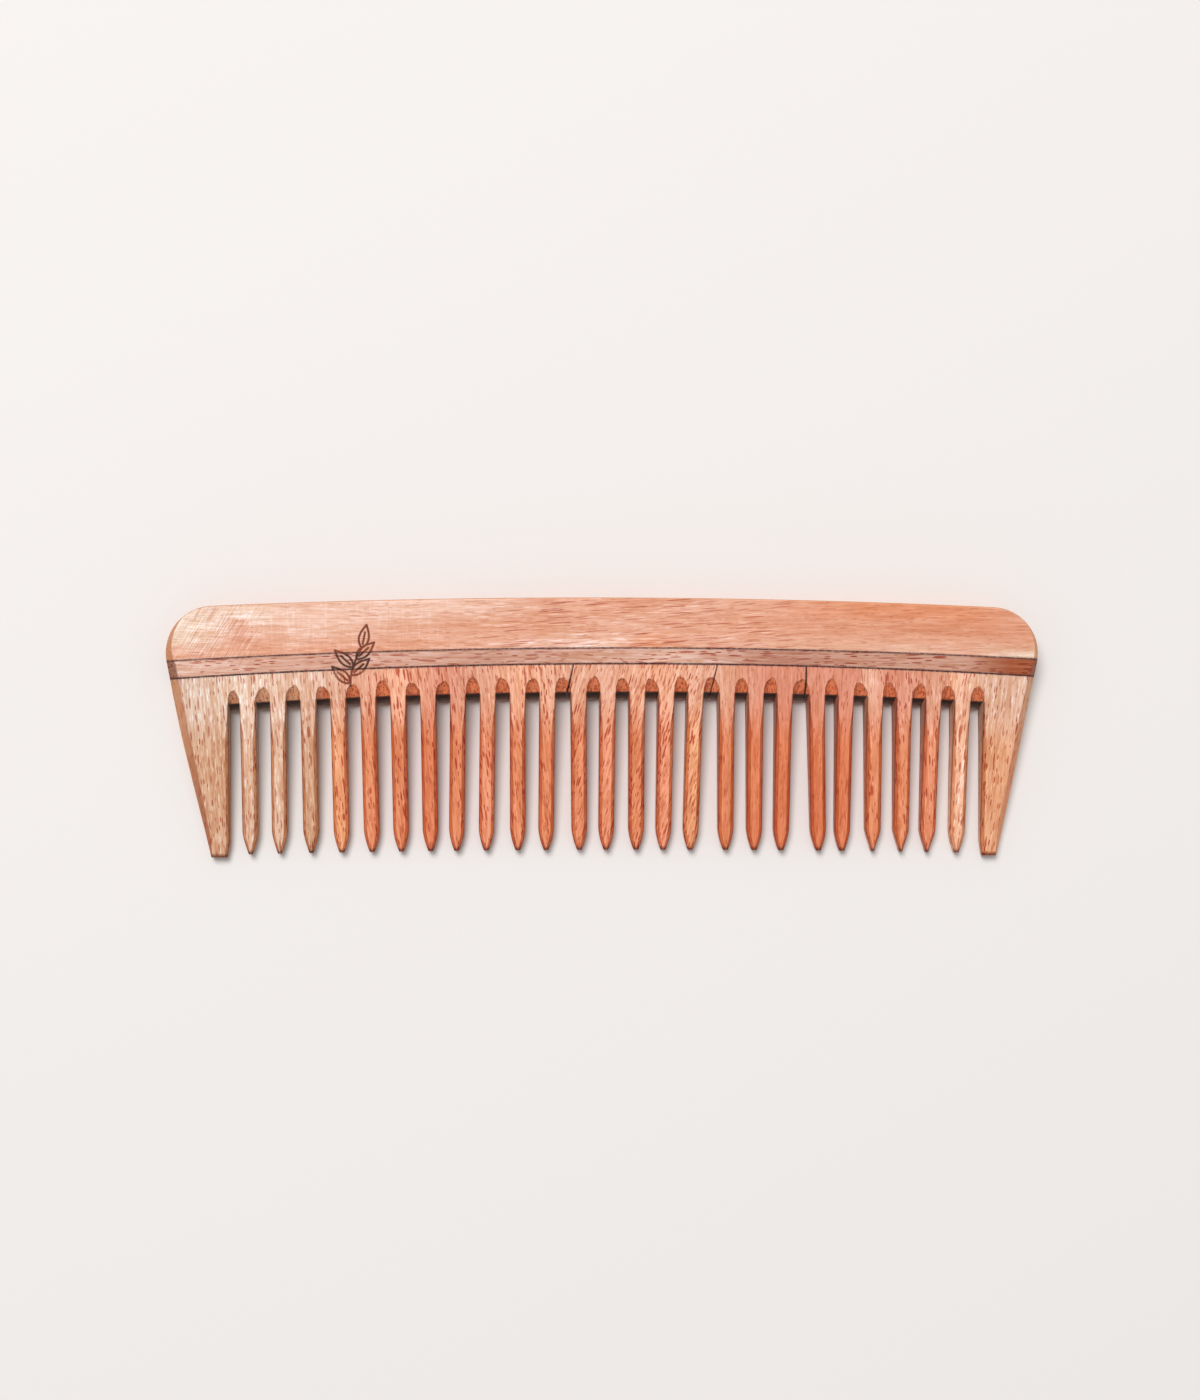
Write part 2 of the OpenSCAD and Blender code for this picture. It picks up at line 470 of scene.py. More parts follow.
def long_columns(low, high):
    """Places along the comb, closer together where the ornament is."""
    parts = [
        spaced(low, ORNAMENT_X[0], GRID_STEP)[:-1],
        spaced(*ORNAMENT_X, FINE_STEP)[:-1],
        spaced(ORNAMENT_X[1], high, GRID_STEP),
    ]
    return np.concatenate(parts)


def long_piece(name, x, y, groove, edge, seam):
    """The spine or the strip as a closed mesh. groove is cut along its glued edges, edge is the
    distance from the nearest of them, and seam is 1 on the dark line of glue."""
    rim = rim_drop(x, y)
    burn = burn_mask(x, y)
    low = np.maximum(rim, groove)
    high = top_z(y) - low - BURN_D * burn + wave(x, y, LONG_WAVE) * smooth(edge, 0, 1)
    masks = {
        "rim": (cut_mask(rim), cut_mask(rim), 1.0),
        "seam": (seam, seam, 0.0),
        "burn": (burn, np.zeros(x.shape), 0.0),
    }
    cells = np.ones((x.shape[0] - 1, x.shape[1] - 1), bool)
    return closed_mesh(name, x, y, high, low, cells, masks)


# ---- spine

def corner_fan(side):
    """Grid lines from the strip round one corner to the back, all from one inner point."""
    start = math.asin((strip_top(side * (HALF_L - 0.1)) - CORNER_Y) / CORNER_R)
    turn = np.concatenate([
        start + np.radians([0, 0.35, 0.8, 1.4]),
        np.linspace(start + math.radians(3), math.pi / 2 - CORNER_TURN, FAN_LINES),
    ])
    outer = np.column_stack([
        side * (CORNER_X + CORNER_R * np.cos(turn)),
        CORNER_Y + CORNER_R * np.sin(turn),
    ])
    inner = np.tile([side * CORNER_X, strip_top(side * CORNER_X)], (len(turn), 1))
    return outer, inner


def spine_columns():
    """Outer and inner end of each grid line: fans round the two corners, joined along the back."""
    left_outer, left_inner = corner_fan(-1)
    right_outer, right_inner = corner_fan(1)
    middle = long_columns(-CORNER_X, CORNER_X)[1:-1]
    stretched = middle * (CORNER_X + CORNER_R * math.sin(CORNER_TURN)) / CORNER_X
    outer = np.column_stack([stretched, back_y(stretched)])
    inner = np.column_stack([middle, strip_top(middle)])
    outer = np.concatenate([left_outer, outer, right_outer[::-1]])
    return outer, np.concatenate([left_inner, inner, right_inner[::-1]])


def spine_mesh():
    """The spine, on a grid that runs from its outer edge in to the strip."""
    outer, inner = spine_columns()
    length = np.hypot(*(inner - outer).T)[:, None]
    width = np.maximum(rim_width(outer[:, 0], outer[:, 1]), EDGE_ROUND)[:, None]
    rim_rows = width * RIM_STEPS
    start, room = rim_rows[:, -1:], length - GROOVE_W - rim_rows[:, -1:]
    even = start + room * np.linspace(0, 1, SPINE_ROWS)[1:]
    rows = np.hstack([rim_rows, even, length - 0.06, length])
    plan = outer[:, None, :] + (inner - outer)[:, None, :] * (rows / length)[..., None]
    x, y = plan[..., 0], plan[..., 1]

    edge = np.abs(y - strip_top(x))
    seam = 1 - smooth(edge, 0.05, 0.4)
    return long_piece("spine_wood", x, y, groove_drop(edge, STRIP_GROOVE), edge, seam)


# ---- middle strip

def strip_mesh():
    """The middle strip, on a grid that runs along it, with its ends bevelled."""
    share = np.concatenate([[0, 0.015, 0.04], np.linspace(0.075, 0.925, 26), [0.96, 0.985, 1]])
    near_end = HALF_L - 0.3
    end_y = [
        strip_low(side * near_end) * (1 - share) + strip_top(side * near_end) * share
        for side in (-1, 1)
    ]
    left, right = -edge_x(end_y[0]), edge_x(end_y[1])
    left_part = left + RIM_STEPS[:, None] * rim_width(left, end_y[0])
    right_part = right - RIM_STEPS[::-1, None] * rim_width(right, end_y[1])
    middle = long_columns(-HALF_L + STRIP_END, HALF_L - STRIP_END)
    x = np.concatenate([left_part, np.repeat(middle[:, None], len(share), axis=1), right_part])
    y = strip_low(x) * (1 - share) + strip_top(x) * share

    edge_high = strip_top(x) - y
    edge_low = y - strip_low(x)
    groove = np.maximum(groove_drop(edge_high, STRIP_GROOVE), groove_drop(edge_low))
    seam = np.maximum(0.7 * (1 - smooth(edge_high, 0.02, 0.3)), 1 - smooth(edge_low, 0.05, 0.4))
    return long_piece("middle_strip_wood", x, y, groove, np.minimum(edge_high, edge_low), seam)


# ---- tooth blocks

def tooth_places(name):
    first, count, pitch = BLOCKS[name]
    return [first + i * pitch for i in range(count)]


def slot_list():
    """Every slot of the comb as (middle, half width, length and skew of its ramps)."""
    walls = [-LEFT_GUARD_X]
    for name in NAMES:
        for place in tooth_places(name):
            walls += [place - TOOTH_W / 2, place + TOOTH_W / 2]
    walls.append(RIGHT_GUARD_X)
    pairs = list(zip(walls[::2], walls[1::2]))
    lengths = rng.uniform(*RAMP_L, len(pairs))
    skews = rng.uniform(-RAMP_SKEW, RAMP_SKEW, len(pairs))
    return [((a + b) / 2, (b - a) / 2, *rest) for (a, b), *rest in zip(pairs, lengths, skews)]


SLOTS = slot_list()


def joint_x(index, y, side):
    """Edge of the block beside the joint at the right of block number index, before it leans."""
    right_wall = tooth_places(NAMES[index])[-1] + TOOTH_W / 2
    left_wall = tooth_places(NAMES[index + 1])[0] - TOOTH_W / 2
    offset, _, gap_high, gap_low = JOINTS[index]
    share = np.clip((y - ROOT_Y) / (STRIP_LOW_Y - ROOT_Y), 0, 1)
    gap = gap_low + (gap_high - gap_low) * share
    return (right_wall + left_wall) / 2 + offset + side * gap / 2


def joint_sides(index):
    """The joints of one block, as (joint number, direction from the joint into the block)."""
    beside = ((index - 1, 1), (index, -1))
    return [(joint, away) for joint, away in beside if 0 <= joint < len(JOINTS)]


def lean_of(joint, y):
    """How far a joint has leaned to the right at height y."""
    return np.clip(y - ROOT_Y, 0, None) * math.tan(math.radians(JOINTS[joint][1]))


def slot_bevel_width(below_root):
    return SLOT_BEVEL * smooth(below_root, 0, SLOT_BEVEL_REACH)


# Grid lines of a tooth, as (share of its half width, share of the bevel's width)
TOOTH_COLUMNS = (
    [(-1, 0), (-1, 0.33), (-1, 0.67), (-1, 1), (-1, 1.25)]
    + [(t, -1.25 * t) for t in (-0.75, -0.5, -0.25, 0, 0.25, 0.5, 0.75)]
    + [(1, -1.25), (1, -1), (1, -0.67), (1, -0.33), (1, 0)]
)
# Grid lines across a slot, and rows across the board and down the teeth, as shares
SLOT_SHARES = np.linspace(0, 1, 19)[1:-1]
JOINT_SHARES = np.linspace(0, 1, 11)
SLAB_SHARES = np.concatenate([[0, 0.009, 0.02, 0.04, 0.08], np.linspace(0.13, 0.98, 34), [1.0]])
TOOTH_SHARES = np.concatenate([
    np.linspace(0, 0.865, 66)[1:],
    np.linspace(0.872, 0.988, 22),
    [0.993, 0.997, 1.0],
])


def block_columns(index):
    """The block's grid lines from left to right. Each is (kind, place function, tooth or guard
    middle), where the place function takes height and distance below the slot ends."""
    name = NAMES[index]
    places = tooth_places(name)
    columns = []

    def add_tooth(place):
        for half_share, bevel_share in TOOTH_COLUMNS:
            def at(y, below, place=place, half_share=half_share, bevel_share=bevel_share):
                half = point_half_width(y - tip_y(place))
                width = np.minimum(np.maximum(slot_bevel_width(below), LEAST_BEVEL), 0.6 * half)
                return place + half_share * half + bevel_share * width
            columns.append(("tooth", at, place))

    def add_slot(left_at, right_at, shares):
        for share in shares:
            def at(y, below, share=share):
                return left_at(y) * (1 - share) + right_at(y) * share
            columns.append(("slot", at, None))

    def fixed(value):
        return lambda y: np.full(np.shape(y), float(value))

    half = TOOTH_W / 2
    if name == FIRST:
        columns += guard_columns(-1, LEFT_GUARD_X)
        add_slot(fixed(-LEFT_GUARD_X), fixed(places[0] - half), SLOT_SHARES)
    else:
        add_slot(lambda y: joint_x(index - 1, y, 1), fixed(places[0] - half), JOINT_SHARES[:-1])
    for place, following in zip(places, places[1:] + [None]):
        add_tooth(place)
        if following is not None:
            add_slot(fixed(place + half), fixed(following - half), SLOT_SHARES)
    if name == LAST:
        add_slot(fixed(places[-1] + half), fixed(RIGHT_GUARD_X), SLOT_SHARES)
        columns += guard_columns(1, RIGHT_GUARD_X)
    else:
        add_slot(fixed(places[-1] + half), lambda y: joint_x(index, y, -1), JOINT_SHARES[1:])
    return columns


def guard_columns(side, inner):
    """Grid lines of a guard tooth, from left to right."""
    columns = []
    rim_end, bevel_start = GUARD_RIM_STEPS[-1], SLOT_BEVEL_STEPS[0]

    def from_rim(y, share):
        outline = edge_x(y)
        return outline - share * np.maximum(rim_width(side * outline, y), LEAST_RIM)

    def from_slot(below, share):
        return inner + share * np.maximum(slot_bevel_width(below), LEAST_BEVEL)

    for share in GUARD_RIM_STEPS:
        columns.append(lambda y, below, share=share: side * from_rim(y, share))
    for share in np.linspace(0, 1, 16)[1:-1]:
        def between(y, below, share=share):
            left, right = from_rim(y, rim_end), from_slot(below, bevel_start)
            return side * (left * (1 - share) + right * share)
        columns.append(between)
    for share in SLOT_BEVEL_STEPS:
        columns.append(lambda y, below, share=share: side * from_slot(below, share))
    columns = [("guard", at, inner) for at in columns]
    return columns if side < 0 else columns[::-1]


def lean_shift(index, x, y):
    """Sideways shift that carries a leaning joint's slant into the grid near it."""
    shift = np.zeros(x.shape)
    for joint, away in joint_sides(index):
        reach = 1 - np.clip((x - joint_x(joint, y, away)) * away / LEAN_REACH, 0, 1)
        shift += reach * lean_of(joint, y)
    return shift


def ramp_depth(x, y):
    """Depth of the arched ramps above the slot ends."""
    depth = np.zeros(x.shape)
    above = y - root_y(x)
    ragged = 0.10 * np.sin(x * 5.1) + 0.07 * np.sin(x * 11.3 + 1.0)
    for middle, half, length, skew in SLOTS:
        t = np.clip(above / (length + ragged), 0, 1)
        width = half * (1 - t ** 1.9) ** 0.62
        across = np.abs(x - middle - skew * t * t) / np.maximum(width, 1e-3)
        inside = np.clip(1 - across ** 2.6, 0, 1) ** 0.7
        own_depth = RAMP_D * (1 - t) ** 0.85 * inside
        within_ramp = (above > -0.01) & (across < 1) & (t < 1)
        depth = np.where(within_ramp, np.maximum(depth, own_depth), depth)
    return depth


def block_grid(index):
    """Plan of one block's grid: its points, its cells, each point's distance from its tooth's
    tip, and the grid lines."""
    columns = block_columns(index)
    n_slab, n_tooth = len(SLAB_SHARES), len(TOOTH_SHARES)
    x = np.empty((len(columns), n_slab + n_tooth))
    y = np.empty_like(x)
    solid = np.array([kind != "slot" for kind, _, _ in columns])
    end_distance = np.full(x.shape, FAR)
    for i, (kind, at, place) in enumerate(columns):
        guess = at(np.array([ROOT_Y]), np.array([0.0]))
        for _ in range(3):
            slab_y = strip_low(guess) * (1 - SLAB_SHARES) + root_y(guess) * SLAB_SHARES
            guess = at(slab_y, np.zeros(n_slab))
        x[i, :n_slab] = guess
        y[i, :n_slab] = slab_y
        root = slab_y[-1]
        end = END_Y if kind == "guard" else tip_y(place if kind == "tooth" else guess[-1])
        tooth_y = root + (end - root) * TOOTH_SHARES
        y[i, n_slab:] = tooth_y
        x[i, n_slab:] = at(tooth_y, root - tooth_y)
        end_distance[i, :] = y[i, :] - end
    x[:, :n_slab] += lean_shift(index, x[:, :n_slab], y[:, :n_slab])
    cells = np.zeros((len(columns) - 1, n_slab + n_tooth - 1), bool)
    cells[:, :n_slab - 1] = True
    both = solid[:-1] & solid[1:]
    cells[:, n_slab - 1:] = both[:, None]
    return x, y, cells, end_distance, columns


def slot_edge_distance(x, y, columns):
    """Distance in from the nearest slot wall, on the teeth and guards."""
    distance = np.full(x.shape, FAR)
    for i, (kind, _, place) in enumerate(columns):
        if kind == "tooth":
            distance[i] = point_half_width(y[i] - tip_y(place)) - np.abs(x[i] - place)
        elif kind == "guard":
            distance[i] = np.abs(x[i]) - place
    return distance


def stray_shift(index, x, y, columns):
    """Sideways shift of the teeth below the slot ends, which were sawn by hand."""
    shift = np.zeros(x.shape)
    below = np.clip(root_y(x) - y, 0, None)
    strays = dict(zip(tooth_places(NAMES[index]), TOOTH_STRAY[index]))
    for i, (kind, _, place) in enumerate(columns):
        if kind == "tooth":
            sharpness = SHARPER[index] * np.clip(1 - (y[i] - tip_y(place)) / SHARP_L, 0, 1)
            shift[i] = strays[place] * below[i] / TOOTH_L - (x[i] - place) * sharpness
        elif kind == "guard":
            share = np.clip((np.abs(x[i]) - place) / (edge_x(y[i]) - place), 0, 1)
            nick = NICK_W[NAMES[index]] * np.clip((END_Y + NICK_L - y[i]) / NICK_L, 0, 1)
            slide = GUARD_SHIFT[NAMES[index]] * smooth(-y[i], -GUARD_SHIFT_Y, -END_Y)
            shift[i] = slide * share + np.sign(x[i]) * nick * (1 - share)
    return shift


def block_mesh(index):
    """One tooth block or guard block as a closed mesh."""
    name = NAMES[index]
    x, y, cells, end_distance, columns = block_grid(index)
    below = root_y(x) - y
    half = np.array([
        point_half_width(y[i] - tip_y(place)) if kind == "tooth" else np.full(y.shape[1], FAR)
        for i, (kind, _, place) in enumerate(columns)
    ])
    slot_edge = slot_edge_distance(x, y, columns)
    width = np.minimum(slot_bevel_width(below), 0.75 * half)
    bevel = bevel_drop(np.clip(slot_edge, 0, None), width, SLOT_BEVEL_FALL)
    bevel = np.where(below > 0, bevel, 0)
    tip = bevel_drop(np.clip(end_distance, 0, None), TIP_BEVEL, TIP_FALL)
    rim = rim_drop(x, y) if name in (FIRST, LAST) else np.zeros(x.shape)
    ramp = ramp_depth(x, y)
    edge = strip_low(x) - y
    groove = groove_drop(np.clip(edge, 0, None))
    burn = burn_mask(x, y)

    joint = np.full(x.shape, FAR)
    for other, away in joint_sides(index):
        if JOINTS[other][3] > OPEN_JOINT:
            joint = np.minimum(joint, (x - joint_x(other, y, away) - lean_of(other, y)) * away)
    joint = np.clip(joint, 0, None)
    joint_groove = np.where(below <= 0.01, groove_drop(joint, CRACK_D, CRACK_W), 0)

    cut = np.maximum.reduce([bevel, tip, rim])
    drop = np.maximum.reduce([cut, ramp, groove, joint_groove])
    high = top_z(y) - drop - BURN_D * burn + wave(x, y, BLOCK_WAVE) * smooth(edge, 0, 1)
    low = drop
    middle = 0.5 * (high + low)
    high = np.maximum(high, middle + LEAST_T / 2)
    low = np.minimum(low, middle - LEAST_T / 2)

    seam = 1 - smooth(edge, 0.03, 0.28)
    open_seam = np.where(below <= 0.01, 0.9 * (1 - smooth(joint, 0.02, 0.2)), 0)
    seam = np.maximum(seam, open_seam)
    ramp_share = smooth(ramp, 0.03, 0.12)
    slot_end = np.zeros(x.shape)
    for i, (kind, _, _) in enumerate(columns):
        if kind == "slot":
            slot_end[i] = np.abs(below[i]) < 0.01
    end = 1 - smooth(end_distance, 0.3, 1.1)
    # Painted shade: a dark line along the slot edges of the teeth and guards
    edge_shade_line = np.where(below > 0, 1 - smooth(slot_edge, 0.05, 0.28), 0)
    bevel_cut, rim_cut = cut_mask(bevel), cut_mask(rim)
    masks = {
        "bevel": (bevel_cut, bevel_cut, 0.0),
        "rim": (rim_cut, rim_cut, 0.0),
        "ramp": (ramp_share, ramp_share, 0.0),
        "seam": (seam, seam, 0.0),
        # At the slot ends the burn mask holds painted shade, on the end walls and on the lower face
        "burn": (burn, slot_end, slot_end),
        "end": (end, end, 0.5 * end),
        "edge": (edge_shade_line, edge_shade_line, 0.0),
    }
    x = x + stray_shift(index, x, y, columns)
    return closed_mesh(name + "_wood", x, y, high, low, cells, masks, ROOT_FOOT * slot_end)


# ---- node helpers

def linear(channel):
    return channel / 12.92 if channel <= 0.04045 else ((channel + 0.055) / 1.055) ** 2.4


def colour(code):
    """A six-digit colour code as a linear colour with alpha."""
    parts = [int(code[i:i + 2], 16) / 255 for i in (0, 2, 4)]
    return [linear(part) for part in parts] + [1.0]


class Graph:
    """Short calls for building one material's nodes."""

    def __init__(self, name):
        self.material = bpy.data.materials.new(name)
        self.material.use_nodes = True
        self.tree = self.material.node_tree
        self.tree.nodes.clear()

    def node(self, kind, **settings):
        made = self.tree.nodes.new(kind)
        for key, value in settings.items():
            setattr(made, key, value)
        return made

    def plug(self, socket, value):
        if isinstance(value, bpy.types.NodeSocket):
            self.tree.links.new(value, socket)
        else:
            socket.default_value = value

    def math(self, operation, *values, clamp=False):
        made = self.node("ShaderNodeMath", operation=operation, use_clamp=clamp)
        for socket, value in zip(made.inputs, values):
            self.plug(socket, value)
        return made.outputs[0]

    def times(self, first, second):
        return self.math("MULTIPLY", first, second)

    def vector(self, x, y, z):
        made = self.node("ShaderNodeCombineXYZ")
        for socket, value in zip(made.inputs, (x, y, z)):
            self.plug(socket, value)
        return made.outputs[0]

    def mask(self, name):
        return self.node("ShaderNodeAttribute", attribute_name=name).outputs["Fac"]

    def noise(self, vector, detail, roughness):
        made = self.node("ShaderNodeTexNoise")
        self.plug(made.inputs["Vector"], vector)
        made.inputs["Scale"].default_value = 1.0
        made.inputs["Detail"].default_value = detail
        made.inputs["Roughness"].default_value = roughness
        return made.outputs["Fac"]

    def blots(self, x, per_x, y, per_y, seed, detail, roughness=0.5):
        """Noise over the plan of the comb, with its own fineness in each direction."""
        vector = self.vector(self.times(x, per_x), self.times(y, per_y), seed)
        return self.noise(vector, detail, roughness)

    def step(self, value, low, high):
        """0 below low, 1 above high, with a smooth rise."""
        made = self.node("ShaderNodeMapRange", interpolation_type="SMOOTHSTEP")
        self.plug(made.inputs["Value"], value)
        self.plug(made.inputs["From Min"], low)
        self.plug(made.inputs["From Max"], high)
        return made.outputs["Result"]

    def mix(self, share, first, second, blend="MIX"):
        made = self.node("ShaderNodeMix", data_type="RGBA", blend_type=blend)
        self.plug(made.inputs[0], share)
        self.plug(made.inputs[6], first)
        self.plug(made.inputs[7], second)
        return made.outputs[2]

    def split(self, vector):
        made = self.node("ShaderNodeSeparateXYZ")
        self.plug(made.inputs[0], vector)
        return made.outputs

    def surface(self, base, roughness, specular):
        """The shader that gives the material its surface."""
        shader = self.node("ShaderNodeBsdfPrincipled")
        self.plug(shader.inputs["Base Color"], base)
        self.plug(shader.inputs["Roughness"], roughness)
        shader.inputs["Specular IOR Level"].default_value = specular
        out = self.node("ShaderNodeOutputMaterial")
        self.plug(out.inputs["Surface"], shader.outputs["BSDF"])
        return shader

    def tones(self, value, stops):
        """A colour that follows value, from stops of (place in mm, colour code)."""
        places = [place for place, _ in stops]
        low, high = places[0], places[-1]
        spread = self.node("ShaderNodeMapRange")
        self.plug(spread.inputs["Value"], value)
        spread.inputs["From Min"].default_value = low
        spread.inputs["From Max"].default_value = high
        ramp = self.node("ShaderNodeValToRGB")
        elements = ramp.color_ramp.elements
        while len(elements) < len(stops):
            elements.new(0.5)
        for element, (place, code) in zip(elements, stops):
            element.position = (place - low) / (high - low)
            element.color = colour(code)
        self.plug(ramp.inputs["Fac"], spread.outputs["Result"])
        return ramp.outputs["Color"]


# ---- wood

# Lifts the tones of the strip and the blocks, which their dark pores would lower
LIFT = [1.14, 1.09, 1.01, 1]
DARKER = [0.90, 0.77, 0.66, 1]
LIGHTER = [1.13, 1.24, 1.34, 1]
PORE_TINT = [0.58, 0.20, 0.13, 1]
PALE_TINT = [1.18, 1.45, 1.70, 1]
SEAM_TONE = colour("46262A")
# The next two tones are painted shade on the slot end walls: near black at the top, and pale at the
# foot so that it fades into the floor's shadow
SLOT_END_SHADE_TONE = colour("33211A")
SLOT_FOOT_SHADE_FADE_TONE = colour("BCA898")
END_TINT = [0.38, 0.23, 0.17, 1]
RAMP_TINT = [0.55, 0.36, 0.26, 1]
BEVEL_TINT = [0.80, 0.55, 0.38, 1]
# A painted shade line along the slot edges of the teeth and guards
EDGE_SHADE_TINT = [0.42, 0.25, 0.19, 1]
LINE_TINT = [0.50, 0.36, 0.30, 1]
# What wood() takes where a piece has no setting of its own
WALL_TINT = [0.82, 0.86, 0.84, 1]
BURN_TONE = "84361A"
PLAIN_RAMP = ((-90, "FB8F5C"), (90, "FB8F5C"))
PLAIN_RIM = ((-90, "B8704A"), (90, "C99A6E"))


class Fibres:
    """Noise stretched along the grain of one piece of wood."""

    def __init__(self, g, along, across, depth):
        self.g, self.along, self.across, self.depth = g, along, across, depth

    def noise(self, per_mm_along, per_mm_across, seed, detail):
        g = self.g
        vector = g.vector(
            g.times(self.along, per_mm_along),
            g.math("MULTIPLY_ADD", self.across, per_mm_across, seed),
            g.times(self.depth, per_mm_across * 0.5),
        )
        return g.noise(vector, detail, roughness=0.6)

    def dashes(self, length, width, seed, size):
        """Short straight marks along the grain, one or none to each cell of length by width."""
        g = self.g
        cells = g.node("ShaderNodeTexVoronoi")
        vector = g.vector(
            g.math("MULTIPLY_ADD", self.along, 1 / length, seed),
            g.times(self.across, 1 / width),
            g.times(self.depth, 1 / width),
        )
        g.plug(cells.inputs["Vector"], vector)
        cells.inputs["Scale"].default_value = 1.0
        chance = g.split(cells.outputs["Color"])[0]
        reach = g.times(g.math("SQRT", chance), size)
        return g.step(g.math("SUBTRACT", reach, cells.outputs["Distance"]), -0.02, 0.04)


def tinted(g, share, look, tint):
    """look multiplied by tint, as far as share says."""
    return g.mix(share, look, tint, "MULTIPLY")


def border(g, name):
    """Strongest along the edge of a mask, and 0 away from it."""
    return g.times(g.mask(name), g.math("SUBTRACT", 1.0, g.mask(name)))


def unbowed(g, x, y, radius):
    """Height on the comb with the bow of a long arc taken out."""
    return g.math("MULTIPLY_ADD", g.times(x, x), 0.5 / radius, y)


def wood(name, tone, grain="x", slant=0.0, bands=1.0, pores=0.5, pore_size=0.36, flecks=0.3,
         fineness=1.0, ramp=PLAIN_RAMP, ramp_share=0.85, burn=BURN_TONE, rim=PLAIN_RIM,
         wall=WALL_TINT, extra=None):
    """A material of sanded wood. tone builds the base colour from the place on the comb; grain
    is the axis that the fibres follow and slant how far they lean from it; bands, pores and
    flecks set how strong the bands, dark pores and pale flecks are, pore_size how much the
    pores cover and fineness how small the marks are. ramp and rim are tones along the comb,
    ramp_share is how much of the first shows, burn is for burnt lines, wall tints upright
    faces, and extra may change the look before the cuts are coloured."""
    g = Graph(name)
    place = g.node("ShaderNodeTexCoord").outputs["Object"]
    x, y, z = [g.times(out, 1 / MM) for out in g.split(place)]
    along, across = (x, y) if grain == "x" else (y, x)
    drift = g.blots(x, 0.06, y, 0.05, seed=1.0, detail=1.0)
    across = g.math("MULTIPLY_ADD", along, slant, across)
    across = g.math("MULTIPLY_ADD", drift, 1.0, across)
    fibres = Fibres(g, along, across, z)

    look = tone(g, x, y)
    broad = fibres.noise(0.04, 0.5, seed=3.0, detail=3.0)
    middle = fibres.noise(0.09, 1.7, seed=11.0, detail=3.0)
    fine = fibres.noise(0.22, 3.0, seed=29.0, detail=2.0)
    mixed = g.math("MULTIPLY_ADD", broad, 0.25, g.times(middle, 0.35))
    mixed = g.math("MULTIPLY_ADD", fine, 0.40, mixed)
    spread = 0.15 / bands
    band_tint = g.mix(g.step(mixed, 0.5 - spread, 0.5 + spread), DARKER, LIGHTER)
    look = tinted(g, 1.0, look, band_tint)

    patches = g.step(fibres.noise(0.07, 0.28, seed=91.0, detail=2.0), 0.34, 0.62)
    amount = g.times(g.math("MULTIPLY_ADD", patches, 0.55, 0.45), pores)
    long_pores = fibres.dashes(6.0 / fineness, 0.60 / fineness, seed=7.0, size=pore_size)
    short_pores = fibres.dashes(2.6 / fineness, 0.50 / fineness, seed=53.0, size=pore_size)
    pore_mask = g.math("MAXIMUM", long_pores, short_pores)
    fleck_mask = fibres.dashes(3.6 / fineness, 0.50 / fineness, seed=71.0, size=0.42)
    look = tinted(g, g.times(fleck_mask, flecks), look, PALE_TINT)
    look = tinted(g, g.times(pore_mask, amount), look, PORE_TINT)
    if extra:
        look = extra(g, look, x, y)

    look = tinted(g, g.mask("bevel"), look, BEVEL_TINT)
    look = tinted(g, g.times(border(g, "bevel"), 1.6), look, LINE_TINT)
    # Painted shade along the slot edges of the teeth and guards
    look = tinted(g, g.mask("edge"), look, EDGE_SHADE_TINT)
    rim_look = g.mix(0.18, g.tones(x, rim), look)
    rim_look = tinted(g, g.times(pore_mask, 0.35), rim_look, PORE_TINT)
    look = g.mix(g.mask("rim"), look, rim_look)

    normal = g.split(g.node("ShaderNodeNewGeometry").outputs["True Normal"])
    upright = g.math("SUBTRACT", 1.0, g.math("ABSOLUTE", normal[2]))
    look = tinted(g, g.step(upright, 0.75, 0.95), look, wall)
    ramp_share = g.times(g.mask("ramp"), ramp_share)
    specks = fibres.noise(0.9, 2.6, seed=17.0, detail=1.0)
    ramp_marks = g.math("MAXIMUM", g.step(specks, 0.50, 0.62), pore_mask)
    ramp_look = tinted(g, ramp_marks, g.tones(x, ramp), RAMP_TINT)
    look = g.mix(ramp_share, look, ramp_look)
    look = tinted(g, g.times(border(g, "ramp"), 2.2), look, LINE_TINT)
    look = tinted(g, g.mask("end"), look, END_TINT)
    rough_edge = g.blots(x, 1.6, y, 1.6, seed=3.0, detail=2.0)
    unevenness = g.math("MULTIPLY_ADD", rough_edge, 1.4, 0.25)
    seam = g.math("MULTIPLY", g.mask("seam"), unevenness, clamp=True)
    look = g.mix(seam, look, SEAM_TONE)
    # Painted shade on the slot end walls, dark at the top and pale at the foot; the burn colour goes on
    # flat faces
    slot_end = g.mix(g.step(z, 0.0, 3.6), SLOT_FOOT_SHADE_FADE_TONE, SLOT_END_SHADE_TONE)
    burn_and_slot_shade = g.mix(g.step(upright, 0.24, 0.34), colour(burn), slot_end)
    look = g.mix(g.mask("burn"), look, burn_and_slot_shade)

    bump = g.node("ShaderNodeBump")
    bump.inputs["Strength"].default_value = 0.35
    bump.inputs["Distance"].default_value = 0.08 * MM
    relief = g.math("SUBTRACT", g.times(fine, 0.8), g.times(pore_mask, 0.7))
    g.plug(bump.inputs["Height"], relief)

    shader = g.surface(look, g.math("MULTIPLY_ADD", middle, 0.25, 0.40), specular=0.35)
    g.plug(shader.inputs["Normal"], bump.outputs["Normal"])
    return g.material


# The palette of the wood, as colour codes
CREAM = "F4D4BC"
BLUSH = "F4C4AC"
ROSE = "ECB094"
SALMON = "E8A484"
CORAL = "E89870"
CHALK = "E4C8B8"
ASH = "D4B8A8"
SAND = "DCB4A0"
SHELL = "E0A890"
CLAY = "D89C84"
BRICK = "D8907A"
MAUVE = "D8B0A0"
TAN = "CEA090"
UMBER = "C29280"
COCOA = "B88474"
CHESTNUT = "A05838"
STRAW = "D6AE96"
FAWN = "CCA084"
HONEY = "DCA07C"
AMBER = "E8A47C"
PEACH = "E49474"
ORANGE = "DA8660"
RUST = "D67A54"

